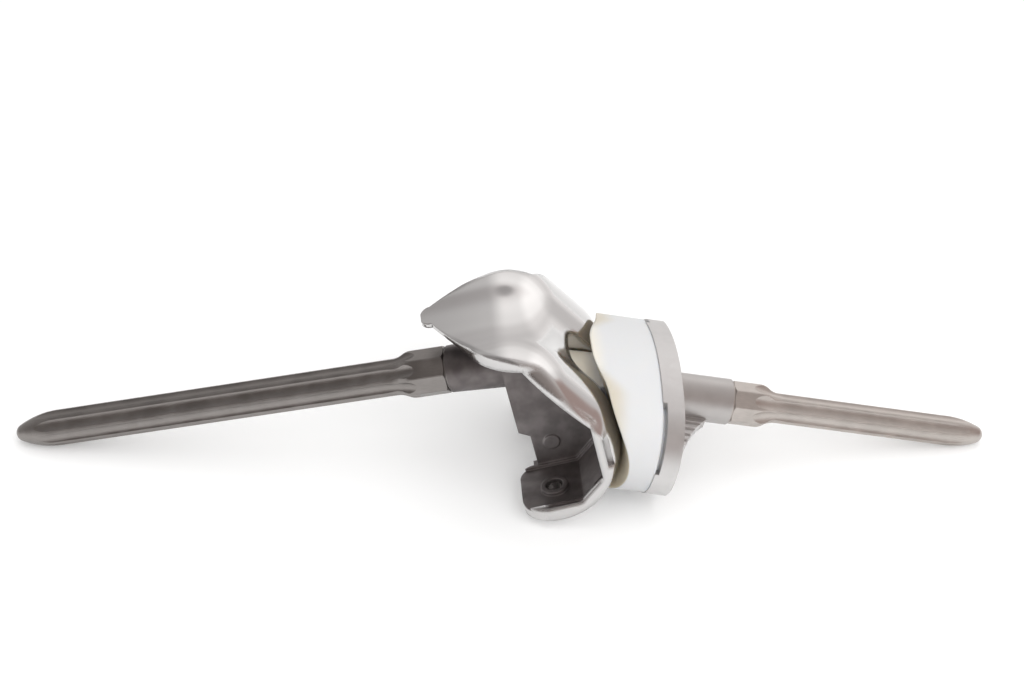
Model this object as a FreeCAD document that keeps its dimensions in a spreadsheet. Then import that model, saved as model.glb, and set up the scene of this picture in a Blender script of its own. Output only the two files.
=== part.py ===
import FreeCAD, Part
import math
import os
import Sketcher

# Stemmed revision knee prosthesis, resting on its posterior side, in millimetres.
# Each bone's pieces are drawn in a knee frame: origin on the flexion axis at mid width,
# +X towards the tibia, +Y to the far side, +Z anterior. Stems and the screw are drawn
# along their own +Z. Placements then lay the flexed knee on its table.

Vector = FreeCAD.Vector
Rotation = FreeCAD.Rotation

SIZES = (
    # femoral casting, side profile
    ("knee_width", 74.0),
    ("condyle_radius", 23.6),
    ("distal_wall", 8.0),
    ("posterior_wall", 8.5),
    ("condyle_wrap", 127.0),
    ("trochlea_radius", 22.0),
    ("trochlea_back", 7.5),
    ("trochlea_rise", 15.4),
    ("flange_radius", 400.0),
    ("flange_reach", 31.0),
    ("anterior_cut_reach", 0.9),
    ("anterior_cut_height", 32.5),
    ("anterior_cut_slope", 0.02),
    ("distal_cut_front", 12.4),
    ("distal_cut_back", 8.0),
    ("posterior_chamfer", 8.0),
    # femoral casting, section across the condyles
    ("crown_offset", 22.0),
    ("crown_radius", 32.0),
    ("groove_depth", 2.6),
    ("shell_depth", 13.0),
    ("lobe_end", 11.4),
    ("lobe_corner", 9.0),
    ("lobe_inner_corner", 5.0),
    # femoral casting, front outline
    ("shoulder_start", 10.0),
    ("shoulder_near", 28.6),
    ("shoulder_far", 25.0),
    ("flange_waist", 16.0),
    ("flange_far_width", 20.5),
    ("flange_far_arc", 60.0),
    ("flange_near_width", 15.0),
    ("flange_near_arc", 24.0),
    ("flange_tip_offset", 10.0),
    ("flange_tip_width", 8.0),
    ("flange_corner", 3.4),
    # intercondylar box
    ("box_width", 25.4),
    ("box_wall", 2.3),
    ("box_depth", 24.0),
    ("box_roof", 2.6),
    ("box_step", 3.4),
    ("box_step_back", 3.4),
    ("box_step_lean", 2.2),
    ("notch_front", 18.6),
    ("notch_corner", 4.4),
    ("cam_radius", 2.8),
    ("cam_distance", 10.9),
    ("cam_angle", 96.0),
    # femoral stem boss
    ("valgus", 7.0),
    ("stem_height", 18.0),
    ("femoral_boss_radius", 7.6),
    ("femoral_boss_root", 8.4),
    ("femoral_boss_end", 25.8),
    # bone side details
    ("cement_depth", 1.0),
    ("outer_rim", 3.0),
    ("inner_rim", 1.0),
    ("recess_top", 14.0),
    ("recess_climb", 9.0),
    ("augment_offset", 25.0),
    ("augment_level", 0.6),
    ("augment_forward", 2.0),
    ("augment_bore", 5.6),
    ("augment_depth", 5.0),
    ("augment_collar", 8.8),
    ("collar_height", 1.3),
    ("slot_length", 11.0),
    ("slot_width", 2.0),
    ("slot_depth", 2.2),
    ("slot_inset", 4.5),
    ("slot_forward", 1.8),
    ("wall_pad", 5.4),
    ("wall_pad_height", 0.5),
    ("wall_pad_level", 1.2),
    ("wall_pad_back", 7.2),
    # spigots and stems
    ("spigot_length", 14.0),
    ("spigot_root", 5.3),
    ("spigot_end", 4.9),
    ("seat_gap", 0.7),
    ("seat_radius", 6.6),
    ("femoral_stem_length", 149.0),
    ("femoral_stem_radius", 6.0),
    ("femoral_collar_radius", 7.8),
    ("femoral_collar_length", 11.5),
    ("tibial_stem_length", 88.0),
    ("tibial_stem_radius", 4.95),
    ("tibial_collar_radius", 7.15),
    ("tibial_collar_length", 9.8),
    ("neck_length", 6.6),
    ("collar_edge", 0.4),
    ("flat_share", 0.935),
    ("nose_length", 15.0),
    ("nose_arc", 31.5),
    ("nose_tip_radius", 2.7),
    ("nose_tip_length", 1.7),
    ("flute_radius", 3.0),
    ("flute_depth", 0.95),
    ("flute_start", 4.0),
    ("flute_runout", 30.0),
    ("flute_runout_angle", 25.0),
    ("flute_count", 8.0),
    # tibial tray
    ("tray_width", 73.6),
    ("tray_front", 24.8),
    ("tray_back", 16.2),
    ("tray_side", 4.4),
    ("tray_corner", 17.0),
    ("rim_level", 33.0),
    ("rim_height", 3.0),
    ("rim_wall", 2.4),
    ("plate_thickness", 4.0),
    ("back_notch_radius", 14.0),
    ("back_notch_depth", 2.6),
    ("tray_slot_depth", 1.3),
    ("tray_slot_start", 3.6),
    ("tray_slot_inner", 22.7),
    ("tibial_boss_radius", 7.5),
    ("tibial_boss_length", 20.6),
    ("tibial_axis_height", 9.4),
    ("wing_reach", 21.0),
    ("wing_edge", 2.4),
    ("wing_foot", 5.6),
    ("wing_length", 13.0),
    ("wing_arc", 26.0),
    ("wing_thickness", 3.6),
    ("wing_drop", 3.4),
    ("wing_sweep", 14.0),
    ("ridge_count", 5.0),
    ("ridge_pitch", 2.5),
    ("ridge_start", 1.0),
    ("ridge_depth", 0.6),
    # insert and its post
    ("running_gap", 0.35),
    ("hyperextension", 3.0),
    ("insert_side_fall", 1.1),
    ("insert_shelf", 21.6),
    ("insert_lip", 11.5),
    ("insert_lip_start", 16.5),
    ("insert_lip_slope", 9.0),
    ("lip_half", 15.5),
    ("lip_side", 24.2),
    ("lip_arc", 31.0),
    ("insert_inset", 0.3),
    ("plug_gap", 0.1),
    ("post_width", 19.2),
    ("post_back", 2.4),
    ("post_front", 15.2),
    ("post_top", 4.0),
    ("post_taper", 0.8),
    ("post_taper_start", 11.6),
    ("post_root", 2.0),
    ("cam_relief", 1.3),
    ("relief_lip", 10.0),
    # post screw
    ("screw_radius", 2.4),
    ("screw_head_radius", 3.6),
    ("screw_head_height", 3.2),
    ("screw_sink", 0.6),
    ("screw_length", 43.0),
    ("screw_edge", 0.4),
    ("screw_hole_gap", 0.2),
    ("hex_across", 3.5),
    ("hex_depth", 2.0),
    # resting pose
    ("femoral_pitch", 12.64),
    ("tibial_pitch", 11.66),
)

# How far a cutter starts outside its cut, how far joined forms run into each other,
# and how much of its depth an offset face gains at a corner of about 45 degrees.
PAST = 1.0
JOIN = 0.5
MITRE = 0.4


class Size:
    """A number of the model with the sheet formula that gives it."""

    def __init__(self, number, text):
        self.number = float(number)
        self.text = text

    def _with(self, other, sign, value):
        other = size(other)
        return Size(value(self.number, other.number), "(%s %s %s)" % (self.text, sign, other.text))

    def __add__(self, other):
        return self._with(other, "+", lambda a, b: a + b)

    def __sub__(self, other):
        return self._with(other, "-", lambda a, b: a - b)

    def __mul__(self, other):
        return self._with(other, "*", lambda a, b: a * b)

    def __truediv__(self, other):
        return self._with(other, "/", lambda a, b: a / b)

    def __radd__(self, other):
        return size(other) + self

    def __rsub__(self, other):
        return size(other) - self

    def __neg__(self):
        return Size(-self.number, "(-1 * %s)" % self.text)


def size(value):
    """Take a plain number as a Size."""
    return value if isinstance(value, Size) else Size(value, repr(float(value)))


def root(value):
    """Square root of a Size."""
    return Size(math.sqrt(value.number), "sqrt(%s)" % value.text)


def cosine(value):
    """Cosine of an angle in degrees."""
    return Size(math.cos(math.radians(value.number)), "cos(%s)" % value.text)


def sine(value):
    """Sine of an angle in degrees."""
    return Size(math.sin(math.radians(value.number)), "sin(%s)" % value.text)


doc = FreeCAD.newDocument("StemmedKnee")
sheet = doc.addObject("Spreadsheet::Sheet", "Sizes")


class Cells:
    """The sheet's named values, each read as an attribute."""


cells = Cells()
for row, (alias, value) in enumerate(SIZES, start=1):
    sheet.set("A%d" % row, alias)
    sheet.set("B%d" % row, str(value))
    sheet.setAlias("B%d" % row, alias)
    setattr(cells, alias, Size(value, "Sizes." + alias))
doc.recompute()
c = cells


def bind(thing, name, value):
    """Tie a property to its formula."""
    value = size(value)
    setattr(thing, name, value.number)
    thing.setExpression(name, value.text)


def new_body(label):
    """A body for one piece."""
    body = doc.addObject("PartDesign::Body", label)
    body.Label = label
    return body


def plane(body, role):
    """One of the body's own origin planes or axes, by role."""
    for feature in body.Origin.OriginFeatures:
        if feature.Role == role:
            return feature
    raise ValueError(role)


def new_sketch(body, name, role, lift=None, turn=None):
    """A sketch on an origin plane, lifted along its normal and turned."""
    sketch = body.newObject("Sketcher::SketchObject", name)
    sketch.AttachmentSupport = [(plane(body, role), "")]
    sketch.MapMode = "FlatFace"
    if turn is not None:
        axis, angle = turn
        sketch.AttachmentOffset = FreeCAD.Placement(Vector(), Rotation(axis, angle.number))
        sketch.setExpression("AttachmentOffset.Rotation.Angle", angle.text)
    if lift is not None:
        sketch.setExpression("AttachmentOffset.Base.z", size(lift).text)
    return sketch


def pin(sketch, index, end, x, y):
    """Hold one point of the sketch at its formula."""
    for kind, axis, value in (("DistanceX", -2, size(x)), ("DistanceY", -1, size(y))):
        if value.text == "0.0":
            sketch.addConstraint(Sketcher.Constraint("PointOnObject", index, end, axis))
        else:
            number = sketch.addConstraint(
                Sketcher.Constraint(kind, -1, 1, index, end, value.number))
            sketch.setExpression("Constraints[%d]" % number, value.text)


def hold(sketch, kind, index, value):
    """Tie a radius to its formula."""
    value = size(value)
    number = sketch.addConstraint(Sketcher.Constraint(kind, index, value.number))
    sketch.setExpression("Constraints[%d]" % number, value.text)


def arc_between(start, end, radius):
    """Minor arc from start to end; a positive radius turns left, a negative one right."""
    sx, sy = start
    ex, ey = end
    if radius < 0:
        sx, sy, ex, ey = ex, ey, sx, sy
    r = abs(radius)
    chord = math.hypot(ex - sx, ey - sy)
    rise = math.sqrt(r * r - chord * chord / 4)
    cx = (sx + ex) / 2 - (ey - sy) / chord * rise
    cy = (sy + ey) / 2 + (ex - sx) / chord * rise
    first = math.atan2(sy - cy, sx - cx)
    last = math.atan2(ey - cy, ex - cx)
    circle = Part.Circle(Vector(cx, cy, 0), Vector(0, 0, 1), r)
    return Part.ArcOfCircle(circle, first, last)


def outline(sketch, corners):
    """Closed outline through (x, y) corners; (x, y, radius) starts an arc to the next."""
    points = [(size(corner[0]), size(corner[1])) for corner in corners]
    edges = []
    for i, corner in enumerate(corners):
        start = (points[i][0].number, points[i][1].number)
        follow = points[(i + 1) % len(points)]
        end = (follow[0].number, follow[1].number)
        if len(corner) > 2:
            radius = size(corner[2])
            index = sketch.addGeometry(arc_between(start, end, radius.number))
            ends = (1, 2) if radius.number > 0 else (2, 1)
            hold(sketch, "Radius", index, radius if radius.number > 0 else -radius)
        else:
            index = sketch.addGeometry(Part.LineSegment(Vector(*start, 0), Vector(*end, 0)))
            ends = (1, 2)
        edges.append((index, ends))
    for i, (index, ends) in enumerate(edges):
        other, other_ends = edges[(i + 1) % len(edges)]
        sketch.addConstraint(
            Sketcher.Constraint("Coincident", index, ends[1], other, other_ends[0]))
        pin(sketch, index, ends[0], *points[i])


def circle(sketch, x, y, radius):
    """A circle held at its centre and radius."""
    x, y, radius = size(x), size(y), size(radius)
    index = sketch.addGeometry(
        Part.Circle(Vector(x.number, y.number, 0), Vector(0, 0, 1), radius.number))
    pin(sketch, index, 3, x, y)
    hold(sketch, "Radius", index, radius)


def feature(body, kind, name, sketch, length=None, **settings):
    """A sketch based feature of the body, with its length bound where it has one."""
    made = body.newObject("PartDesign::" + kind, name)
    if kind in ("Revolution", "Groove"):
        made.Profile = sketch
    else:
        made.Profile = (sketch, [])
    for key, value in settings.items():
        if isinstance(value, Size):
            bind(made, key, value)
        else:
            setattr(made, key, value)
    if length is not None:
        bind(made, "Length", length)
    return made


# Side profile of the polished surface: condyle arc, straight run, trochlear arc, flange.
# The three arcs and the run are tangent, which fixes where they meet.
def surface_path(sketch, gap):
    inner = c.condyle_radius + gap
    outer = c.trochlea_radius + gap
    flange = c.flange_radius + gap
    back = -c.trochlea_back.number
    rise = c.trochlea_rise.number
    reach = math.hypot(back, rise)
    meet = math.acos((outer.number - inner.number) / reach) - math.atan2(rise, -back)
    wrap = -math.radians(c.condyle_wrap.number)
    top_z = rise - (flange.number - outer.number)
    tip = math.acos((back + c.flange_reach.number) / flange.number)
    centre = Vector(back, rise, 0)
    low = Vector(back, top_z, 0)
    normal = Vector(0, 0, 1)
    along = Vector(math.cos(meet), math.sin(meet), 0)
    condyle = sketch.addGeometry(
        Part.ArcOfCircle(Part.Circle(Vector(), normal, inner.number), wrap, meet))
    run = sketch.addGeometry(
        Part.LineSegment(along * inner.number, centre + along * outer.number))
    trochlea = sketch.addGeometry(
        Part.ArcOfCircle(Part.Circle(centre, normal, outer.number), meet, math.pi / 2))
    nose = sketch.addGeometry(
        Part.ArcOfCircle(Part.Circle(low, normal, flange.number), math.pi / 2, math.pi - tip))
    sketch.addConstraint(Sketcher.Constraint("Coincident", condyle, 3, -1, 1))
    hold(sketch, "Radius", condyle, inner)
    start = sketch.addConstraint(
        Sketcher.Constraint("DistanceX", -1, 1, condyle, 1, inner.number * math.cos(wrap)))
    sketch.setExpression("Constraints[%d]" % start, (inner * cosine(c.condyle_wrap)).text)
    pin(sketch, trochlea, 3, -c.trochlea_back, c.trochlea_rise)
    hold(sketch, "Radius", trochlea, outer)
    hold(sketch, "Radius", nose, flange)
    sketch.addConstraint(Sketcher.Constraint("Tangent", condyle, 2, run, 1))
    sketch.addConstraint(Sketcher.Constraint("Tangent", run, 2, trochlea, 1))
    sketch.addConstraint(Sketcher.Constraint("Tangent", trochlea, 2, nose, 1))
    sketch.addConstraint(Sketcher.Constraint("Vertical", trochlea, 2, trochlea, 3))
    end = sketch.addConstraint(
        Sketcher.Constraint("DistanceX", -1, 1, nose, 2, -c.flange_reach.number))
    sketch.setExpression("Constraints[%d]" % end, (-c.flange_reach).text)


# Section across the condyles: two crowns with the trochlear groove between them.
def crown_section(sketch, gap, half_width, side_drop, side_radius, depth):
    crest = c.condyle_radius + gap
    span = c.crown_offset * c.crown_offset + c.groove_depth * c.groove_depth
    both = span / (c.groove_depth * 2)
    hollow = both - c.crown_radius
    share = c.crown_radius / both
    blend_r = crest - c.crown_radius + (both - c.groove_depth) * share
    blend_y = c.crown_offset - c.crown_offset * share
    side_r = crest - side_drop
    inner = crest - depth
    outline(sketch, [
        (inner, -half_width),
        (side_r, -half_width, side_radius),
        (crest, -c.crown_offset, c.crown_radius),
        (blend_r, -blend_y, -hollow),
        (blend_r, blend_y, c.crown_radius),
        (crest, c.crown_offset, side_radius),
        (side_r, half_width),
        (inner, half_width),
    ])


# Femoral component: polished shell, bone cuts, intercondylar box and stem boss.
outside = c.knee_width
half_knee = c.knee_width / 2
distal_x = c.condyle_radius - c.distal_wall
posterior_z = c.posterior_wall - c.condyle_radius
roof_x = distal_x - c.box_depth
roof_inside = roof_x + c.box_roof
step_x = roof_x + c.box_step
step_inside = step_x + c.box_roof
step_z = c.box_step_lean / 3 - c.box_step_back
cavity_half = c.box_width / 2 - c.box_wall
femur = new_body("femoral_component")

path = new_sketch(femur, "SurfacePath", "XZ_Plane")
surface_path(path, size(0))
section = new_sketch(femur, "CrownSection", "XY_Plane", turn=(Vector(0, 1, 0), c.condyle_wrap))
beyond = half_knee - c.crown_offset
crown_drop = c.crown_radius - root(c.crown_radius * c.crown_radius - beyond * beyond)
crown_section(section, size(0), half_knee, crown_drop, c.crown_radius, c.shell_depth)
shell = femur.newObject("PartDesign::AdditivePipe", "CondyleShell")
shell.Profile = (section, [])
shell.Spine = (path, [])

bone = new_sketch(femur, "BoneCuts", "XZ_Plane")
outline(bone, [
    (-outside, posterior_z),
    (distal_x - c.posterior_chamfer, posterior_z),
    (distal_x, -c.distal_cut_back),
    (distal_x, c.distal_cut_front),
    (-c.anterior_cut_reach, c.anterior_cut_height),
    (-outside, c.anterior_cut_height + (outside - c.anterior_cut_reach) * c.anterior_cut_slope),
])
feature(femur, "Pocket", "BoneCutPocket", bone, Type="ThroughAll", Midplane=True)

# the sides draw in above the condyles
climb = c.anterior_cut_height - c.shoulder_start
sides = new_sketch(femur, "ShoulderOutline", "YZ_Plane")
for side, shoulder in ((1, c.shoulder_far), (-1, c.shoulder_near)):
    inset = half_knee - shoulder
    bend = (inset * inset + climb * climb) / (inset * 2)
    outline(sides, [
        (half_knee * side, c.shoulder_start, bend * side),
        (shoulder * side, c.anterior_cut_height),
        (shoulder * side, outside),
        ((half_knee + PAST) * side, outside),
        ((half_knee + PAST) * side, c.shoulder_start),
    ])
feature(femur, "Pocket", "ShoulderPocket", sides, Type="ThroughAll", Midplane=True)

# the flange is taller on the far side
tip_far = c.flange_tip_offset + c.flange_tip_width / 2
tip_near = c.flange_tip_offset - c.flange_tip_width / 2
flange = new_sketch(femur, "FlangeOutline", "XY_Plane", lift=c.notch_front)
outline(flange, [
    (-c.anterior_cut_reach, c.shoulder_far, c.flange_far_arc),
    (-c.flange_waist, c.flange_far_width),
    (c.flange_corner - c.flange_reach, tip_far, c.flange_corner),
    (-c.flange_reach, tip_far - c.flange_corner),
    (-c.flange_reach, tip_near + c.flange_corner, c.flange_corner),
    (c.flange_corner - c.flange_reach, tip_near),
    (-c.flange_waist, -c.flange_near_width, c.flange_near_arc),
    (-c.anterior_cut_reach, -c.shoulder_near),
    (-c.anterior_cut_reach, -outside),
    (-outside, -outside),
    (-outside, outside),
    (-c.anterior_cut_reach, outside),
])
feature(femur, "Pocket", "FlangePocket", flange, Type="ThroughAll", Reversed=True)

# each condyle ends behind in a rounded lobe
lobe = new_sketch(femur, "LobeOutline", "XY_Plane", lift=posterior_z + PAST)
lobe_side = c.box_width / 2
for side in (1, -1):
    outline(lobe, [
        (c.lobe_inner_corner - c.lobe_end, JOIN * side),
        (c.lobe_inner_corner - c.lobe_end, lobe_side * side, -c.lobe_inner_corner * side),
        (-c.lobe_end, (lobe_side + c.lobe_inner_corner) * side),
        (-c.lobe_end, (half_knee - c.lobe_corner) * side, -c.lobe_corner * side),
        (c.lobe_corner - c.lobe_end, half_knee * side),
        (c.lobe_corner - c.lobe_end, (half_knee + PAST) * side),
        (-outside, (half_knee + PAST) * side),
        (-outside, JOIN * side),
    ])
feature(femur, "Pocket", "LobePocket", lobe, Type="ThroughAll")

box = new_sketch(femur, "BoxProfile", "XZ_Plane")
outline(box, [
    (step_x, posterior_z),
    (distal_x - c.posterior_chamfer, posterior_z),
    (distal_x, -c.distal_cut_back),
    (distal_x, c.distal_cut_front),
    (-c.anterior_cut_reach, c.anterior_cut_height),
    (roof_x, c.anterior_cut_height - (roof_x + c.anterior_cut_reach) * c.anterior_cut_slope),
    (roof_x, c.box_step_lean - c.box_step_back),
    (step_x, -c.box_step_back),
])
feature(femur, "Pad", "BoxPad", box, c.box_width, Midplane=True)

boss = new_sketch(femur, "BossProfile", "XY_Plane", lift=c.stem_height,
                  turn=(Vector(0, 0, 1), -c.valgus))
outline(boss, [
    (-c.femoral_boss_end, 0),
    (-c.femoral_boss_end, c.femoral_boss_radius),
    (roof_x, c.femoral_boss_root),
    (roof_inside - JOIN, c.femoral_boss_root),
    (roof_inside - JOIN, 0),
])
feature(femur, "Revolution", "StemBoss", boss, ReferenceAxis=(boss, ["H_Axis"]), Angle=360.0)

notch = new_sketch(femur, "NotchOutline", "YZ_Plane", lift=roof_inside)
outline(notch, [
    (-cavity_half, step_z),
    (cavity_half, step_z),
    (cavity_half, c.notch_front - c.notch_corner, c.notch_corner),
    (cavity_half - c.notch_corner, c.notch_front),
    (-(cavity_half - c.notch_corner), c.notch_front, c.notch_corner),
    (-cavity_half, c.notch_front - c.notch_corner),
])
feature(femur, "Pocket", "NotchPocket", notch, Type="ThroughAll", Reversed=True)
back = new_sketch(femur, "BackOutline", "YZ_Plane", lift=step_inside)
outline(back, [
    (-cavity_half, -outside),
    (cavity_half, -outside),
    (cavity_half, step_z),
    (-cavity_half, step_z),
])
feature(femur, "Pocket", "BackPocket", back, Type="ThroughAll", Reversed=True)
above = new_sketch(femur, "BackOpening", "YZ_Plane", lift=step_inside + PAST)
outline(above, [
    (-cavity_half, -outside),
    (cavity_half, -outside),
    (cavity_half, posterior_z),
    (-cavity_half, posterior_z),
])
feature(femur, "Pocket", "BackOpeningPocket", above, Type="ThroughAll")

cam = new_sketch(femur, "CamProfile", "XZ_Plane")
circle(cam, c.cam_distance * cosine(c.cam_angle), -(c.cam_distance * sine(c.cam_angle)),
       c.cam_radius)
feature(femur, "Pad", "CamBar", cam, (cavity_half + JOIN) * 2, Midplane=True)

socket = new_sketch(femur, "SocketProfile", "XY_Plane", lift=c.stem_height,
                    turn=(Vector(0, 0, 1), -c.valgus))
outline(socket, [
    (-c.femoral_boss_end, 0),
    (-c.femoral_boss_end, c.spigot_root),
    (c.spigot_length - c.femoral_boss_end, c.spigot_end),
    (c.spigot_length - c.femoral_boss_end, 0),
])
feature(femur, "Groove", "StemSocket", socket, ReferenceAxis=(socket, ["H_Axis"]), Angle=360.0)

# one condyle's bone side details, mirrored to the other
cut_run = distal_x + c.anterior_cut_reach
cut_rise = c.anterior_cut_height - c.distal_cut_front
cut_length = root(cut_run * cut_run + cut_rise * cut_rise)
into_x = cut_rise / cut_length
into_z = cut_run / cut_length
top_x = distal_x - c.recess_climb * cut_run / cut_rise
top_z = c.distal_cut_front + c.recess_climb
floor_x = distal_x + c.cement_depth
floor_z = posterior_z - c.cement_depth
mitre = c.cement_depth * MITRE
recess = new_sketch(femur, "CementRecess", "XZ_Plane", lift=-(c.box_width / 2 + c.inner_rim))
outline(recess, [
    (-c.recess_top, posterior_z + PAST),
    (-c.recess_top, floor_z),
    (distal_x - c.posterior_chamfer + mitre, floor_z),
    (floor_x, -c.distal_cut_back - mitre),
    (floor_x, c.distal_cut_front + mitre),
    (top_x + c.cement_depth * into_x, top_z + c.cement_depth * into_z),
    (top_x - into_x * PAST, top_z - into_z * PAST),
    (distal_x - PAST, c.distal_cut_front),
    (distal_x - PAST, -c.distal_cut_back),
    (distal_x - c.posterior_chamfer - MITRE * PAST, posterior_z + PAST),
])
recessed = feature(femur, "Pocket", "CementPocket", recess,
                   half_knee - c.outer_rim - c.box_width / 2 - c.inner_rim)
collar = new_sketch(femur, "AugmentCollar", "XY_Plane", lift=floor_z - JOIN)
circle(collar, -c.augment_level, c.augment_offset, c.augment_collar / 2)
collared = feature(femur, "Pad", "AugmentCollarPad", collar, c.collar_height + JOIN)
seat = new_sketch(femur, "PosteriorAugment", "XY_Plane", lift=floor_z + c.collar_height)
circle(seat, -c.augment_level, c.augment_offset, c.augment_bore / 2)
drilled = feature(femur, "Pocket", "PosteriorAugmentHole", seat, c.augment_depth)
low_seat = new_sketch(femur, "DistalAugment", "YZ_Plane", lift=distal_x - PAST)
circle(low_seat, c.augment_offset, c.augment_forward, c.augment_bore / 2)
low_drilled = feature(femur, "Pocket", "DistalAugmentHole", low_seat, c.augment_depth + PAST,
                      Reversed=True)
pad = new_sketch(femur, "WallPad", "XZ_Plane", lift=JOIN - c.box_width / 2)
circle(pad, c.wall_pad_level, -c.wall_pad_back, c.wall_pad / 2)
padded = feature(femur, "Pad", "WallPadBoss", pad, c.wall_pad_height + JOIN, Reversed=True)
slot = new_sketch(femur, "SideSlot", "XZ_Plane", lift=c.slot_depth - half_knee)
slot_x = c.condyle_radius - c.slot_inset
slot_back = c.slot_forward - c.slot_length / 2
slot_front = c.slot_forward + c.slot_length / 2
outline(slot, [
    (slot_x - c.slot_width / 2, slot_back),
    (slot_x + c.slot_width / 2, slot_back),
    (slot_x + c.slot_width / 2, slot_front),
    (slot_x - c.slot_width / 2, slot_front),
])
slotted = feature(femur, "Pocket", "SideSlotPocket", slot, c.slot_depth + PAST)
mirrored = femur.newObject("PartDesign::Mirrored", "OtherCondyle")
mirrored.Originals = [recessed, collared, drilled, low_drilled, padded, slotted]
mirrored.MirrorPlane = (plane(femur, "XZ_Plane"), [""])
femur.Tip = mirrored
doc.recompute()


# Stems: tapered spigot, collar with flats, flared neck, fluted shaft and nose.
def make_stem(label, length, radius, collar_radius, collar_length):
    """One stem: a spigot that seats in a boss, a collar, and flutes that run out at the nose."""
    body = new_body(label)
    neck_end = collar_length + c.neck_length
    flare = collar_radius - radius
    flare_radius = (c.neck_length * c.neck_length + flare * flare) / (flare * 4)
    tip_radius, tip_length = c.nose_tip_radius, c.nose_tip_length
    cap_radius = (tip_radius * tip_radius + tip_length * tip_length) / (tip_length * 2)
    turned = new_sketch(body, "TurnedProfile", "XZ_Plane")
    outline(turned, [
        (0, -c.spigot_length),
        (c.spigot_end, -c.spigot_length),
        (c.spigot_root, 0),
        (c.seat_radius, 0),
        (c.seat_radius, c.seat_gap),
        (collar_radius - c.collar_edge, c.seat_gap),
        (collar_radius, c.seat_gap + c.collar_edge),
        (collar_radius, collar_length, flare_radius),
        (radius + flare / 2, collar_length + c.neck_length / 2, -flare_radius),
        (radius, neck_end),
        (radius, length - c.nose_length, c.nose_arc),
        (tip_radius, length - tip_length, cap_radius),
        (0, length),
    ])
    feature(body, "Revolution", "TurnedStem", turned,
            ReferenceAxis=(turned, ["V_Axis"]), Angle=360.0)
    flats = new_sketch(body, "CollarFlats", "XY_Plane", lift=c.seat_gap / 2)
    circle(flats, 0, 0, collar_radius + PAST)
    across = collar_radius * c.flat_share
    corner = across * math.tan(math.pi / 8)
    eight = [(across, corner), (corner, across), (-corner, across), (-across, corner),
             (-across, -corner), (-corner, -across), (corner, -across), (across, -corner)]
    outline(flats, eight)
    feature(body, "Pocket", "CollarFlatPocket", flats, neck_end, Reversed=True)
    cutter = radius - c.flute_depth + c.flute_radius
    flute_start = neck_end + c.flute_start
    flute_section = new_sketch(body, "FluteSection", "XY_Plane", lift=length + PAST)
    circle(flute_section, cutter, 0, c.flute_radius)
    flute_path = new_sketch(body, "FlutePath", "XZ_Plane")
    line = flute_path.addGeometry(Part.LineSegment(
        Vector(cutter.number, length.number + PAST, 0),
        Vector(cutter.number, flute_start.number, 0)))
    pin(flute_path, line, 1, cutter, length + PAST)
    pin(flute_path, line, 2, cutter, flute_start)
    middle = cutter + c.flute_runout
    runout = Part.Circle(Vector(middle.number, flute_start.number, 0), Vector(0, 0, 1),
                         c.flute_runout.number)
    turn = math.radians(c.flute_runout_angle.number)
    run = flute_path.addGeometry(Part.ArcOfCircle(runout, math.pi, math.pi + turn))
    flute_path.addConstraint(Sketcher.Constraint("Coincident", run, 1, line, 2))
    hold(flute_path, "Radius", run, c.flute_runout)
    pin(flute_path, run, 2, middle - c.flute_runout * cosine(c.flute_runout_angle),
        flute_start - c.flute_runout * sine(c.flute_runout_angle))
    flute = body.newObject("PartDesign::SubtractivePipe", "Flute")
    flute.Profile = (flute_section, [])
    flute.Spine = (flute_path, [])
    doc.recompute()
    ring = body.newObject("PartDesign::PolarPattern", "Flutes")
    ring.Originals = [flute]
    ring.Axis = (plane(body, "Z_Axis"), [""])
    ring.Angle = 360.0
    ring.Occurrences = int(c.flute_count.number)
    ring.setExpression("Occurrences", c.flute_count.text)
    body.Tip = ring
    return body


femoral_stem = make_stem("femoral_stem", c.femoral_stem_length, c.femoral_stem_radius,
                         c.femoral_collar_radius, c.femoral_collar_length)
tibial_stem = make_stem("tibial_stem", c.tibial_stem_length, c.tibial_stem_radius,
                        c.tibial_collar_radius, c.tibial_collar_length)


# Tibial tray: rimmed plate, stem boss and ridged wings.
def blend_radius(corner, beyond, across):
    """Radius of the long arc that meets two corner arcs and reaches past them."""
    top = beyond * beyond + across * across - corner * corner
    return top / ((beyond - corner) * 2)


def tray_outline(sketch, inset):
    """D-shaped outline: long front and back arcs between rounded corners."""
    corner = c.tray_corner - inset
    half = c.tray_width / 2 - inset
    across = half - corner
    points = []
    for reach in (c.tray_front - c.tray_side - inset, c.tray_back + c.tray_side - inset):
        long_arc = blend_radius(corner, reach, across)
        share = long_arc / (long_arc - corner)
        points.append((across * share, reach - long_arc + (long_arc - reach) * share, long_arc))
    (fx, fz, front), (bx, bz, rear) = points
    outline(sketch, [
        (half, c.tray_side, corner),
        (fx, c.tray_side + fz, front),
        (-fx, c.tray_side + fz, corner),
        (-half, c.tray_side, corner),
        (-bx, c.tray_side - bz, rear),
        (bx, c.tray_side - bz, corner),
    ])


def back_notch(body, name, lift, **settings):
    """The concave middle of the back edge."""
    sketch = new_sketch(body, name, "YZ_Plane", lift=lift)
    circle(sketch, 0, c.back_notch_depth - c.tray_back - c.back_notch_radius,
           c.back_notch_radius)
    return feature(body, "Pocket", name + "Pocket", sketch, Type="ThroughAll", **settings)


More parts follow.
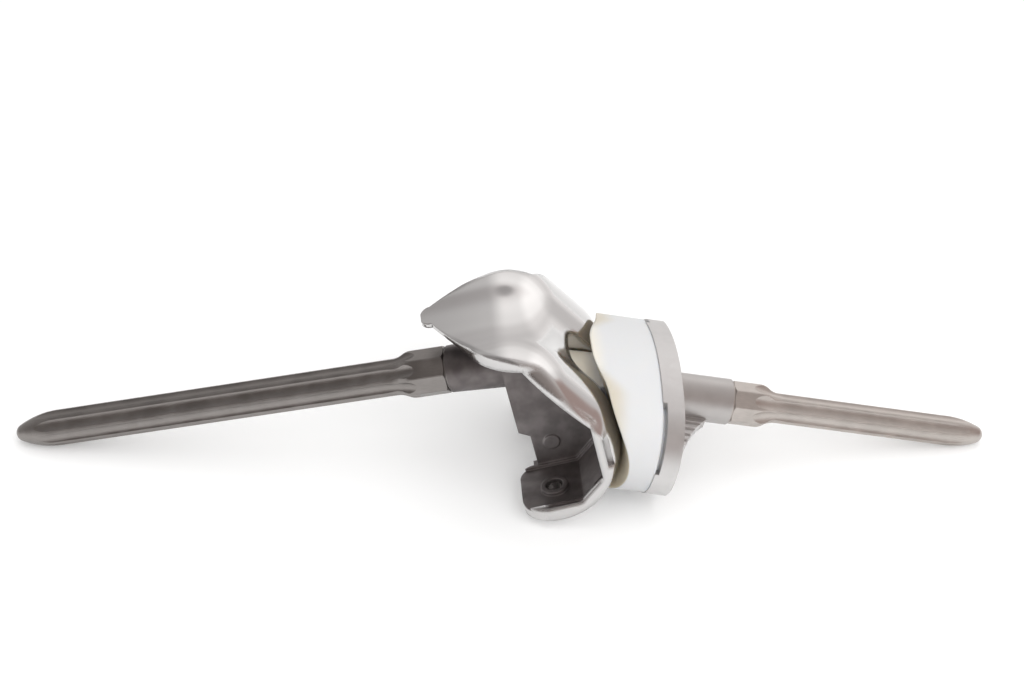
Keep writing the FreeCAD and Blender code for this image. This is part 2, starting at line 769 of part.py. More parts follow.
tray_floor = c.rim_level + c.rim_height
underside = tray_floor + c.plate_thickness
boss_end = underside + c.tibial_boss_length
tray = new_body("tibial_tray")
plate = new_sketch(tray, "TrayOutline", "YZ_Plane", lift=c.rim_level)
tray_outline(plate, size(0))
feature(tray, "Pad", "TrayPad", plate, c.rim_height + c.plate_thickness)
back_notch(tray, "BackNotch", c.rim_level - PAST, Reversed=True)
well = new_sketch(tray, "WellOutline", "YZ_Plane", lift=tray_floor)
tray_outline(well, c.rim_wall)
feature(tray, "Pocket", "WellPocket", well, c.rim_height + PAST)
boss_circle = new_sketch(tray, "BossCircle", "YZ_Plane", lift=underside - JOIN)
circle(boss_circle, 0, c.tibial_axis_height, c.tibial_boss_radius)
feature(tray, "Pad", "BossPad", boss_circle, c.tibial_boss_length + JOIN)
tray_socket = new_sketch(tray, "TibialSocket", "XY_Plane", lift=c.tibial_axis_height)
outline(tray_socket, [
    (boss_end, 0),
    (boss_end, c.spigot_root),
    (boss_end - c.spigot_length, c.spigot_end),
    (boss_end - c.spigot_length, 0),
])
feature(tray, "Groove", "TibialSocketGroove", tray_socket,
        ReferenceAxis=(tray_socket, ["H_Axis"]), Angle=360.0)
screw_hole = new_sketch(tray, "ScrewHole", "YZ_Plane", lift=tray_floor - PAST)
circle(screw_hole, 0, c.tibial_axis_height, c.screw_radius)
feature(tray, "Pocket", "ScrewHolePocket", screw_hole,
        boss_end - c.spigot_length - tray_floor + PAST * 2, Reversed=True)
wing = new_sketch(tray, "WingOutline", "XY_Plane", lift=c.tibial_axis_height - c.wing_drop,
                  turn=(Vector(1, 0, 0), -c.wing_sweep))
outline(wing, [
    (underside - JOIN, c.screw_radius),
    (underside + c.wing_length, c.screw_radius),
    (underside + c.wing_length, c.tibial_boss_radius - JOIN, -c.wing_arc),
    (underside + c.wing_foot, c.wing_reach - c.wing_edge),
    (underside - JOIN, c.wing_reach),
])
wing_pad = feature(tray, "Pad", "WingPad", wing, c.wing_thickness, Midplane=True)
wing_slope = sine(c.wing_sweep) / cosine(c.wing_sweep)
wing_top = c.tibial_axis_height - c.wing_drop + c.wing_thickness / cosine(c.wing_sweep) / 2
ridge = new_sketch(tray, "WingRidge", "YZ_Plane", lift=underside)
for step in range(int(c.ridge_count.number)):
    foot_y = c.tibial_boss_radius + c.ridge_start + c.ridge_pitch * step
    crest_y = foot_y + c.ridge_pitch / 2
    crest_z = wing_top - crest_y * wing_slope
    outline(ridge, [
        (foot_y, wing_top - foot_y * wing_slope - c.ridge_depth),
        (crest_y, crest_z),
        (crest_y, crest_z + PAST),
        (foot_y, crest_z + PAST),
    ])
wing_ridges = feature(tray, "Pocket", "WingRidgePocket", ridge, c.wing_length + PAST,
                      Reversed=True)
rim_slot = new_sketch(tray, "RimSlot", "YZ_Plane", lift=c.rim_level + c.tray_slot_depth)
outline(rim_slot, [
    (c.tray_slot_inner, c.tray_slot_start),
    (c.tray_width / 2 + PAST, c.tray_slot_start),
    (c.tray_width / 2 + PAST, c.tray_front + PAST),
    (c.tray_slot_inner, c.tray_front + PAST),
])
rim_slotted = feature(tray, "Pocket", "RimSlotPocket", rim_slot, c.tray_slot_depth + PAST)
other_wing = tray.newObject("PartDesign::Mirrored", "OtherWing")
other_wing.Originals = [wing_pad, wing_ridges, rim_slotted]
other_wing.MirrorPlane = (plane(tray, "XZ_Plane"), [""])
tray.Tip = other_wing
doc.recompute()

# Polyethylene insert: dished block, plug that fits the tray's well, and stabilising post.
insert = new_body("tibial_insert")
block = new_sketch(insert, "InsertOutline", "YZ_Plane", lift=c.rim_level)
tray_outline(block, c.insert_inset)
feature(insert, "Pad", "InsertPad", block, c.rim_level - c.insert_lip, Reversed=True)
back_notch(insert, "InsertNotch", c.rim_level + PAST)
dish_path = new_sketch(insert, "DishPath", "XZ_Plane", turn=(Vector(0, 0, 1), -c.hyperextension))
surface_path(dish_path, c.running_gap)
dish_section = new_sketch(insert, "DishSection", "XY_Plane",
                          turn=(Vector(0, 1, 0), c.condyle_wrap + c.hyperextension))
dish_half = c.tray_width / 2 + PAST
past_crest = dish_half - c.crown_offset
side_fall = c.insert_side_fall
side_bend = (past_crest * past_crest + side_fall * side_fall) / (side_fall * 2)
crown_section(dish_section, c.running_gap, dish_half, -side_fall, -side_bend,
              c.shell_depth + PAST)
dish = insert.newObject("PartDesign::SubtractivePipe", "ArticularDish")
dish.Profile = (dish_section, [])
dish.Spine = (dish_path, [])
shelf = new_sketch(insert, "ShelfProfile", "XZ_Plane")
outline(shelf, [
    (c.insert_lip - PAST, -c.tray_width),
    (c.insert_shelf, -c.tray_width),
    (c.insert_shelf, c.insert_lip_start - c.insert_lip_slope),
    (c.insert_lip, c.insert_lip_start),
    (c.insert_lip - PAST, c.insert_lip_start),
])
feature(insert, "Pocket", "ShelfPocket", shelf, Type="ThroughAll", Midplane=True)
lip = new_sketch(insert, "LipOutline", "XY_Plane")
outline(lip, [
    (-PAST, -dish_half),
    (c.lip_side, -dish_half, -c.lip_arc),
    (c.insert_lip, -c.lip_half),
    (c.insert_lip - PAST, -c.lip_half),
    (c.insert_lip - PAST, c.lip_half),
    (c.insert_lip, c.lip_half, -c.lip_arc),
    (c.lip_side, dish_half),
    (-PAST, dish_half),
])
feature(insert, "Pocket", "LipPocket", lip, Type="ThroughAll", Midplane=True)
plug = new_sketch(insert, "PlugOutline", "YZ_Plane", lift=c.rim_level - JOIN)
tray_outline(plug, c.rim_wall + c.plug_gap)
feature(insert, "Pad", "PlugPad", plug, c.rim_height + JOIN)
back_notch(insert, "PlugNotch", c.rim_level - PAST, Reversed=True)

# the post, hollowed behind for the cam
relief = c.cam_radius + c.cam_relief
relief_x = root(c.cam_distance * c.cam_distance - c.post_back * c.post_back)
relief_mouth = relief * cosine(c.relief_lip)
post_end = c.rim_level - PAST
post = new_sketch(insert, "PostProfile", "XZ_Plane")
outline(post, [
    (post_end, c.post_front),
    (c.post_taper_start, c.post_front),
    (-c.post_top, c.post_front - c.post_taper),
    (-c.post_top, c.post_back),
    (relief_x - relief_mouth, c.post_back, -relief),
    (relief_x + relief_mouth, c.post_back),
    (post_end, c.post_back - c.post_root),
])
feature(insert, "Pad", "PostPad", post, c.post_width, Midplane=True)
bore = new_sketch(insert, "ScrewBore", "YZ_Plane", lift=tray_floor + PAST)
circle(bore, 0, c.tibial_axis_height, c.screw_radius + c.screw_hole_gap)
feature(insert, "Pocket", "ScrewBorePocket", bore, Type="ThroughAll")
head_bore = new_sketch(insert, "HeadBore", "YZ_Plane",
                       lift=c.screw_head_height + c.screw_sink - c.post_top)
circle(head_bore, 0, c.tibial_axis_height, c.screw_head_radius + c.screw_hole_gap)
feature(insert, "Pocket", "HeadBorePocket", head_bore, Type="ThroughAll")
doc.recompute()

# Post screw: hexagon socket head seated in the post, shank down into the tray's boss.
screw = new_body("post_screw")
turned_screw = new_sketch(screw, "ScrewProfile", "XZ_Plane")
outline(turned_screw, [
    (0, 0),
    (c.screw_head_radius - c.screw_edge, 0),
    (c.screw_head_radius, c.screw_edge),
    (c.screw_head_radius, c.screw_head_height),
    (c.screw_radius, c.screw_head_height),
    (c.screw_radius, c.screw_length - c.screw_edge),
    (c.screw_radius - c.screw_edge, c.screw_length),
    (0, c.screw_length),
])
feature(screw, "Revolution", "TurnedScrew", turned_screw,
        ReferenceAxis=(turned_screw, ["V_Axis"]), Angle=360.0)
hexagon = new_sketch(screw, "HexagonOutline", "XY_Plane")
hex_corner = c.hex_across / math.sqrt(3)
hex_flat = c.hex_across / 2
outline(hexagon, [
    (hex_corner, 0),
    (hex_corner / 2, hex_flat),
    (-(hex_corner / 2), hex_flat),
    (-hex_corner, 0),
    (-(hex_corner / 2), -hex_flat),
    (hex_corner / 2, -hex_flat),
])
feature(screw, "Pocket", "HexagonSocket", hexagon, c.hex_depth, Reversed=True)
doc.recompute()

# Resting pose: both stem tips, the condyles and the tray's back edge touch the table.
bodies = [femur, femoral_stem, tray, insert, tibial_stem, screw]
axis_point = Vector(0, 0, c.condyle_radius.number)
femoral_turn = Rotation(Vector(0, 1, 0), -c.femoral_pitch.number)
tibial_turn = Rotation(Vector(0, 1, 0), c.tibial_pitch.number)
valgus_turn = Rotation(Vector(0, 0, 1), -c.valgus.number)
to_left = Rotation(Vector(0, 1, 0), -90)
to_right = Rotation(Vector(0, 1, 0), 90)
femoral_frame = FreeCAD.Placement(axis_point, femoral_turn)
tibial_frame = FreeCAD.Placement(axis_point, tibial_turn)
femoral_seat = FreeCAD.Placement(Vector(0, 0, c.stem_height.number), valgus_turn)
femoral_seat = femoral_seat * FreeCAD.Placement(
    Vector(-c.femoral_boss_end.number, 0, 0), to_left)
tibial_seat = FreeCAD.Placement(
    Vector(boss_end.number, 0, c.tibial_axis_height.number), to_right)
screw_seat = FreeCAD.Placement(
    Vector(c.screw_sink.number - c.post_top.number, 0, c.tibial_axis_height.number), to_right)
places = [femoral_frame, femoral_frame * femoral_seat, tibial_frame, tibial_frame,
          tibial_frame * tibial_seat, tibial_frame * screw_seat]
for body, place in zip(bodies, places):
    body.Placement = place
doc.recompute()
whole = Part.makeCompound([body.Shape for body in bodies]).optimalBoundingBox(False, False)
centring = FreeCAD.Placement(Vector(-whole.Center.x, -whole.Center.y, -whole.ZMin), Rotation())
for body in bodies:
    body.Placement = centring * body.Placement
doc.recompute()

for thing in doc.Objects:
    if "Invalid" in thing.State or "Error" in thing.State:
        raise RuntimeError("%s: %s" % (thing.Name, thing.State))
for body in bodies:
    if body.Shape.isNull() or not body.Shape.isValid():
        raise RuntimeError(body.Label)
os.makedirs("parts", exist_ok=True)
for body in bodies:
    body.Shape.exportStep("parts/%s.step" % body.Label)
print("knee axis at", centring.multVec(axis_point))
for body in bodies:
    print(body.Label, len(body.Shape.Solids), round(body.Shape.Volume))
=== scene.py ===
"""Looks of a stemmed revision knee prosthesis that lies on a pale table."""

import logging
import math
from dataclasses import dataclass
from enum import Enum

import bpy
from mathutils import Matrix, Vector

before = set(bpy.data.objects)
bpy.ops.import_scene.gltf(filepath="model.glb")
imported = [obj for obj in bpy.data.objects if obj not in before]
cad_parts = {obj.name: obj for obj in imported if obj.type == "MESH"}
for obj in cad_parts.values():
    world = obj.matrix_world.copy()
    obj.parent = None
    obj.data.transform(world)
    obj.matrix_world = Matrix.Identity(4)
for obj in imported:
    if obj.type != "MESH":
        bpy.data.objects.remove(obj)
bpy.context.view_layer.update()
log = logging.getLogger("knee")

Socket = bpy.types.NodeSocket
Colour = tuple[float, float, float]
Place = tuple[float, float, float]
Span = tuple[float, float]
# What Board.ramp takes after its number: low, high, start and end.
Ramp = tuple[float, float, float, float]

MM = 0.001
BLACK: Colour = (0.0, 0.0, 0.0)
EDGE_SAMPLES = 8

# The part's axes: to the photo's right, away from the camera and across the knee, and up.
RIGHT = Vector((1.0, 0.0, 0.0))
ACROSS = Vector((0.0, 1.0, 0.0))
UP = Vector((0.0, 0.0, 1.0))

# The knee's own sizes, as the solids have them, in millimetres and degrees.
FEMORAL_PITCH = 12.64
TIBIAL_PITCH = 11.66
VALGUS = 7.0
KNEE_AXIS = Vector((12.915, 0.0, 23.6)) * MM
TRAY_BOTTOM = 40.0
BONE_CUTS = (
    ((0.0, -1.0), 15.1),
    ((0.664, -0.748), 16.34),
    ((1.0, 0.0), 15.6),
    ((0.773, 0.634), 19.92),
    ((0.02, 1.0), 32.48),
)
RECESS_TOP = 22.2
NOTCH_ROOF = -6.0
NOTCH_HALF = 10.5
NOTCH_FRONT = 18.8
HALF_KNEE = 37.0
OUTER_RIM = 3.0

# How far past a bone cut a face still counts as the bone side, in millimetres: on the cut
# itself, further where the recess for cement is, and less on the outer rim.
CUT_SLACK = 0.03
RECESS_SLACK = 1.07
RIM_SLACK = -2.0


def turned(x: float, z: float, pitch: float) -> Vector:
    """Turn a direction of a knee frame's side view into the part's frame.

    Args:
        x: Share along the leg, towards the tibia.
        z: Share towards the front of the knee.
        pitch: Turn of that knee frame about the part's +Y, in degrees.

    Returns:
        The direction in the part's frame.
    """
    angle = math.radians(pitch)
    return Vector((math.cos(angle) * x + math.sin(angle) * z, 0.0,
                   math.cos(angle) * z - math.sin(angle) * x))


# Down the leg on each side of the knee, and towards the front on the femoral side.
FEMORAL_DOWN = turned(1.0, 0.0, -FEMORAL_PITCH)
FEMORAL_FRONT = turned(0.0, 1.0, -FEMORAL_PITCH)
TIBIAL_DOWN = turned(1.0, 0.0, TIBIAL_PITCH)


class Board:
    """A node tree with short calls that add nodes and join their sockets."""

    def __init__(self, tree: bpy.types.NodeTree) -> None:
        """Start on an empty tree.

        Args:
            tree: The tree to fill. Its present nodes are removed.
        """
        self.tree = tree
        tree.nodes.clear()

    def add(self, kind: str, **settings: object) -> bpy.types.Node:
        """Add a node.

        Args:
            kind: The node's type name.
            **settings: Its properties.

        Returns:
            The new node.
        """
        node = self.tree.nodes.new(kind)
        for name, value in settings.items():
            setattr(node, name, value)
        return node

    def feed(self, node: bpy.types.Node, **inputs: object) -> bpy.types.Node:
        """Fill a node's inputs from sockets or plain values.

        Args:
            node: The node to fill.
            **inputs: Input names with underscores for spaces, or i0, i1 and so on by place.

        Returns:
            The same node.
        """
        for name, value in inputs.items():
            by_place = name[0] == "i" and name[1:].isdigit()
            socket = node.inputs[int(name[1:])] if by_place else node.inputs[name.replace("_", " ")]
            if isinstance(value, Socket):
                self.tree.links.new(value, socket)
            else:
                socket.default_value = value
        return node

    def math(self, operation: str, *values: object) -> Socket:
        """Join sockets or numbers by a Math node.

        Args:
            operation: The Math node's operation.
            *values: Its inputs in order.

        Returns:
            The result's socket.
        """
        node = self.add("ShaderNodeMath", operation=operation)
        self.feed(node, **{f"i{place}": value for place, value in enumerate(values)})
        return node.outputs[0]

    def vector(self, operation: str, *values: object) -> Socket:
        """Join vectors by a Vector Math node.

        Args:
            operation: The node's operation.
            *values: Its inputs in order.

        Returns:
            The result's socket, a number for DOT_PRODUCT and LENGTH and a vector otherwise.
        """
        node = self.add("ShaderNodeVectorMath", operation=operation)
        self.feed(node, **{f"i{place}": value for place, value in enumerate(values)})
        return node.outputs["Value" if operation in ("DOT_PRODUCT", "LENGTH") else "Vector"]

    def ramp(self, value: Socket, low: float, high: float,
             start: float = 0.0, end: float = 1.0) -> Socket:
        """Map a range of a number smoothly onto another.

        Args:
            value: The number.
            low: Where the range starts.
            high: Where it ends.
            start: The result at low.
            end: The result at high.

        Returns:
            The mapped number's socket.
        """
        node = self.add("ShaderNodeMapRange", interpolation_type="SMOOTHSTEP")
        self.feed(node, i0=value, i1=low, i2=high, i3=start, i4=end)
        return node.outputs[0]

    def blend(self, share: object, first: object, second: object) -> Socket:
        """Mix two colours.

        Args:
            share: How much of the second shows.
            first: A colour or a colour socket.
            second: A colour or a colour socket.

        Returns:
            The mixed colour's socket.
        """
        node = self.add("ShaderNodeMix", data_type="RGBA")
        wide = [(*c, 1.0) if isinstance(c, tuple) else c for c in (first, second)]
        self.feed(node, i0=share, i6=wide[0], i7=wide[1])
        return node.outputs[2]

    def part(self, value: Socket, way: Vector) -> Socket:
        """Take the part of a point or direction that lies along a unit direction."""
        return self.vector("DOT_PRODUCT", value, tuple(way))

    def aside(self, value: Socket) -> Socket:
        """Measure how much a point or direction is off the knee's middle plane."""
        return self.math("ABSOLUTE", self.part(value, ACROSS))

    def past(self, place: Socket, way: Vector, reach: float = 0.0) -> Socket:
        """Measure how far a point lies past a plane.

        Args:
            place: The point, in the part's frame.
            way: The plane's unit normal.
            reach: The plane's distance from the knee's axis, in millimetres.

        Returns:
            The distance's socket, in metres.
        """
        return self.math("SUBTRACT", self.part(place, way), way.dot(KNEE_AXIS) + reach * MM)

    def rays(self) -> tuple[Socket, Socket]:
        """Tell what kind of ray looks at a surface.

        Returns:
            A socket that is 1 for the camera, and one that is 1 for metal and glass.
        """
        path = self.add("ShaderNodeLightPath").outputs
        mirrored = self.math("MAXIMUM", path["Is Glossy Ray"], path["Is Transmission Ray"])
        return path["Is Camera Ray"], mirrored

    def mix(self, share: Socket, first: bpy.types.Node, second: bpy.types.Node) -> bpy.types.Node:
        """Mix two shaders.

        Args:
            share: How much of the second shows.
            first: A shader's node.
            second: A shader's node.

        Returns:
            The mixed shader's node.
        """
        return self.feed(self.add("ShaderNodeMixShader"), i0=share, i1=first.outputs[0],
                         i2=second.outputs[0])


class GroupBoard(Board):
    """A board on a new shader node group with named sockets."""

    def __init__(self, name: str, inputs: dict[str, str], outputs: dict[str, str]) -> None:
        """Start the group with its input and output nodes.

        Args:
            name: The group's name.
            inputs: Input names and socket types.
            outputs: Output names and socket types.
        """
        super().__init__(bpy.data.node_groups.new(name, "ShaderNodeTree"))
        for in_out, sockets in (("INPUT", inputs), ("OUTPUT", outputs)):
            for socket, kind in sockets.items():
                self.tree.interface.new_socket(socket, in_out=in_out, socket_type=kind)
        self.source = self.add("NodeGroupInput")
        self.sink = self.add("NodeGroupOutput")


class Effects:
    """Node groups that several finishes share."""

    FLOAT = "NodeSocketFloat"
    VECTOR = "NodeSocketVector"
    GRAIN_NOISE = {"Detail": 3.0, "Roughness": 0.6}
    FINE_NOISE = {"Detail": 4.0, "Roughness": 0.7}
    COARSE_NOISE = {"Detail": 2.0, "Roughness": 0.5}
    COARSE_SHARE = 0.06
    MOTTLE_SPAN: Span = (0.3, 0.7)

    def __init__(self) -> None:
        """Build each group once."""
        self.grain = self.make_grain()
        self.speckle = self.make_speckle()

    def make_grain(self) -> bpy.types.NodeTree:
        """Build drawn-out machining grain along one direction.

        Returns:
            The group. Value is the grain from 0 to 1.
        """
        board = GroupBoard(
            "machining_grain",
            {"Vector": self.VECTOR, "Along": self.VECTOR, "Squeeze": self.FLOAT,
             "Scale": self.FLOAT},
            {"Value": self.FLOAT})
        given = board.source.outputs
        along = board.vector("DOT_PRODUCT", given["Vector"], given["Along"])
        pull = board.feed(board.add("ShaderNodeVectorMath", operation="SCALE"),
                          i0=given["Along"], Scale=board.math("MULTIPLY", along, given["Squeeze"]))
        squeezed = board.vector("SUBTRACT", given["Vector"], pull.outputs["Vector"])
        noise = board.feed(board.add("ShaderNodeTexNoise"), Vector=squeezed,
                           Scale=given["Scale"], **self.GRAIN_NOISE)
        board.feed(board.sink, Value=noise.outputs[0])
        return board.tree

    def make_speckle(self) -> bpy.types.NodeTree:
        """Build blasted or cast grain at two scales.

        Returns:
            The group. Height is for a Bump node, Mottle is a slow change of tone, both 0 to 1.
        """
        board = GroupBoard(
            "blasted_grain", {"Vector": self.VECTOR, "Scale": self.FLOAT},
            {"Height": self.FLOAT, "Mottle": self.FLOAT})
        given = board.source.outputs
        fine = board.feed(board.add("ShaderNodeTexNoise"), Vector=given["Vector"],
                          Scale=given["Scale"], **self.FINE_NOISE)
        coarse_scale = board.math("MULTIPLY", given["Scale"], self.COARSE_SHARE)
        coarse = board.feed(board.add("ShaderNodeTexNoise"), Vector=given["Vector"],
                            Scale=coarse_scale, **self.COARSE_NOISE)
        board.feed(board.sink, Height=fine.outputs[0],
                   Mottle=board.ramp(coarse.outputs[0], *self.MOTTLE_SPAN))
        return board.tree


@dataclass(frozen=True)
class Finish:
    """What every finish has: a name, and the calls that all of them make."""

    name: str

    def start(self) -> tuple[bpy.types.Material, Board, bpy.types.Node, Socket]:
        """Open an empty material.

        Returns:
            The material, its board, its Principled shader and the object's own coordinates.
        """
        material = bpy.data.materials.new(self.name)
        material.use_nodes = True
        board = Board(material.node_tree)
        output = board.add("ShaderNodeOutputMaterial")
        shader = board.add("ShaderNodeBsdfPrincipled")
        board.feed(output, Surface=shader.outputs[0])
        place = board.add("ShaderNodeTexCoord").outputs["Object"]
        return material, board, shader, place

    @staticmethod
    def use(board: Board, group: bpy.types.NodeTree, **inputs: object) -> bpy.types.Node:
        """Place a shared group in a material.

        Args:
            board: The material's board.
            group: The group.
            **inputs: Its inputs.

        Returns:
            The group's node.
        """
        node = board.add("ShaderNodeGroup")
        node.node_tree = group
        return board.feed(node, **inputs)

    @staticmethod
    def relief(board: Board, height: Socket, strength: object, depth: float,
               edge: object) -> Socket:
        """Raise grain on a surface, and round its sharp edges in the shading.

        Args:
            board: The material's board.
            height: The grain's height.
            strength: How strongly the grain shows, or a socket with that.
            depth: The grain's depth in metres.
            edge: The edges' radius in metres, or a socket with it.

        Returns:
            The normal's socket.
        """
        rounded = board.feed(board.add("ShaderNodeBevel", samples=EDGE_SAMPLES), Radius=edge)
        bump = board.feed(board.add("ShaderNodeBump"), Strength=strength, Distance=depth,
                          Height=height, Normal=rounded.outputs[0])
        return bump.outputs[0]

    @staticmethod
    def uneven(board: Board, mottle: Socket, middle: float, spread: float) -> Socket:
        """Let a roughness wander with the mottle.

        Args:
            board: The material's board.
            mottle: The slow change of tone, from 0 to 1.
            middle: The roughness at its middle.
            spread: How far it goes to each side.

        Returns:
            The roughness's socket.
        """
        return board.ramp(mottle, 0.0, 1.0, middle - spread, middle + spread)


@dataclass(frozen=True)
class FluteMetal(Finish):
    """Satin titanium with machining grain along the stem, with its lengths in metres."""

    tone: Colour
    along: Place
    roughness: float = 0.39
    roughness_spread: float = 0.05
    darker: float = 0.74
    lighter: float = 1.2
    grain_scale: float = 5200.0
    grain_squeeze: float = 0.93
    grain_share: float = 0.6
    speckle_scale: float = 2600.0
    mottle_share: float = 0.35
    speckle_height: float = 0.5
    strength: float = 0.22
    depth: float = 0.00012
    edge: float = 0.00018

    def make(self, effects: Effects) -> bpy.types.Material:
        """Build the material.

        Args:
            effects: The shared groups.

        Returns:
            The material.
        """
        material, board, shader, place = self.start()
        grain = self.use(board, effects.grain, Vector=place, Along=self.along,
                         Squeeze=self.grain_squeeze, Scale=self.grain_scale).outputs["Value"]
        speckle = self.use(board, effects.speckle, Vector=place, Scale=self.speckle_scale).outputs
        dark = tuple(channel * self.darker for channel in self.tone)
        light = tuple(min(1.0, channel * self.lighter) for channel in self.tone)
        share = board.math("MULTIPLY_ADD", grain, self.grain_share,
                           board.math("MULTIPLY", speckle["Mottle"], self.mottle_share))
        height = board.math("MULTIPLY_ADD", speckle["Height"], self.speckle_height, grain)
        board.feed(shader, Metallic=1.0, Base_Color=board.blend(share, dark, light),
                   Normal=self.relief(board, height, self.strength, self.depth, self.edge),
                   Roughness=self.uneven(board, speckle["Mottle"], self.roughness,
                                         self.roughness_spread))
        return material


@dataclass(frozen=True)
class BlastedMetal(Finish):
    """Matte blasted metal, with painted shade that darkens the boss below the tray, with its
    lengths in metres.
    """

    tone: Colour
    # Painted shade: a darker tone for the boss below the tray.
    boss: Colour
    roughness: float
    roughness_spread: float = 0.04
    boss_start: Span = (0.0, 0.002)
    boss_side: Ramp = (0.0075, 0.0090, 1.0, 0.0)
    darkening: float = 0.12
    speckle_scale: float = 4200.0
    mottle_share: float = 0.6
    speckle_share: float = 0.4
    strength: float = 0.3
    depth: float = 0.0001
    edge: float = 0.0004

    def make(self, effects: Effects) -> bpy.types.Material:
        """Build the material.

        Args:
            effects: The shared groups.

        Returns:
            The material.
        """
        material, board, shader, place = self.start()
        speckle = self.use(board, effects.speckle, Vector=place, Scale=self.speckle_scale).outputs
        # Painted shade: the boss below the tray takes the darker tone.
        below = board.ramp(board.past(place, TIBIAL_DOWN, TRAY_BOTTOM), *self.boss_start)
        painted_shade_on_boss = board.math("MULTIPLY", below, board.ramp(board.aside(place), *self.boss_side))
        tone = board.blend(painted_shade_on_boss, self.tone, self.boss)
        dark = board.blend(self.darkening, tone, BLACK)
        share = board.math("MULTIPLY_ADD", speckle["Mottle"], self.mottle_share,
                           board.math("MULTIPLY", speckle["Height"], self.speckle_share))
        board.feed(shader, Metallic=1.0, Base_Color=board.blend(share, dark, tone),
                   Normal=self.relief(board, speckle["Height"], self.strength, self.depth,
                                      self.edge),
                   Roughness=self.uneven(board, speckle["Mottle"], self.roughness,
                                         self.roughness_spread))
        return material


@dataclass(frozen=True)
class CastShell(Finish):
    """Cobalt chrome: mirror polished outside, dark and grainy on the bone side.

    Lengths are in metres. The lower part of the bone side is painted paler: painted light, as if
    the table lit it.
    """

    polished: Colour
    cast: Colour
    # Painted light: a paler tone for the lower part of the bone side, as if the table lit it.
    pocket_painted_light: Colour
    pocket_painted_light_span: Span = (0.012, 0.034)
    darkening: float = 0.3
    speckle_scale: float = 3000.0
    strength: float = 0.4
    depth: float = 0.00015
    polish: float = 0.10
    polish_spread: float = 0.02
    cast_roughness: float = 0.5
    flank: Ramp = (0.9, 0.99, 0.0, 0.22)
    edge: Ramp = (-0.026, -0.014, 0.0007, 0.0030)
    cast_edge: float = 0.25

    def bone_side(self, board: Board, place: Socket) -> Socket:
        """Mask the faces that meet bone, by the planes of the bone cuts.

        Args:
            board: The material's board.
            place: The object's coordinates.

        Returns:
            The mask's socket, 1 on the bone side.
        """
        outside = None
        for (x, z), reach in BONE_CUTS:
            distance = board.past(place, turned(x, z, -FEMORAL_PITCH), reach)
            outside = distance if outside is None else board.math("MAXIMUM", outside, distance)
        climb = board.past(place, FEMORAL_FRONT, RECESS_TOP)
        across = board.aside(place)
        on_rim = board.math("GREATER_THAN", across, (HALF_KNEE - OUTER_RIM) * MM)
        recessed = board.math("LESS_THAN", climb, 0.0)
        slack = board.math("MULTIPLY_ADD", recessed, RECESS_SLACK * MM, CUT_SLACK * MM)
        slack = board.math("MULTIPLY_ADD", on_rim, RIM_SLACK * MM, slack)
        deep = board.past(place, FEMORAL_DOWN, NOTCH_ROOF)
        in_notch = board.math("MULTIPLY", board.math("LESS_THAN", across, NOTCH_HALF * MM),
                              board.math("GREATER_THAN", deep, 0.0))
        behind = board.math("LESS_THAN", climb, (NOTCH_FRONT - RECESS_TOP) * MM)
        open_side = board.math("SUBTRACT", 1.0, board.math("MULTIPLY", in_notch, behind))
        return board.math("MULTIPLY", open_side, board.math("LESS_THAN", outside, slack))

    def make(self, effects: Effects) -> bpy.types.Material:
        """Build the material.

        Args:
            effects: The shared groups.

        Returns:
            The material.
        """
        material, board, shader, place = self.start()
        mask = self.bone_side(board, place)
        speckle = self.use(board, effects.speckle, Vector=place, Scale=self.speckle_scale).outputs
        # Painted light: the bone side turns paler towards the bottom, as if the table lit it.
        low = board.ramp(board.part(place, UP), *self.pocket_painted_light_span)
        skin_with_painted_light = board.blend(low, self.pocket_painted_light, self.cast)
        dark = board.blend(self.darkening, skin_with_painted_light, BLACK)
        cast = board.blend(speckle["Mottle"], dark, skin_with_painted_light)
        edge = board.math("MULTIPLY", board.ramp(board.past(place, FEMORAL_DOWN), *self.edge),
                          board.ramp(mask, 0.0, 1.0, 1.0, self.cast_edge))
        strength = board.ramp(mask, 0.0, 1.0, 0.0, self.strength)
        facing = board.aside(board.add("ShaderNodeTexCoord").outputs["Normal"])
        haze = board.math("ADD", self.uneven(board, speckle["Mottle"], self.polish,
                                             self.polish_spread),
                          board.ramp(facing, *self.flank))
        rough = board.math("MAXIMUM", haze, board.math("MULTIPLY", mask, self.cast_roughness))
        board.feed(shader, Metallic=1.0, Base_Color=board.blend(mask, self.polished, cast),
                   Normal=self.relief(board, speckle["Height"], strength, self.depth, edge),
                   Roughness=rough)
        return material


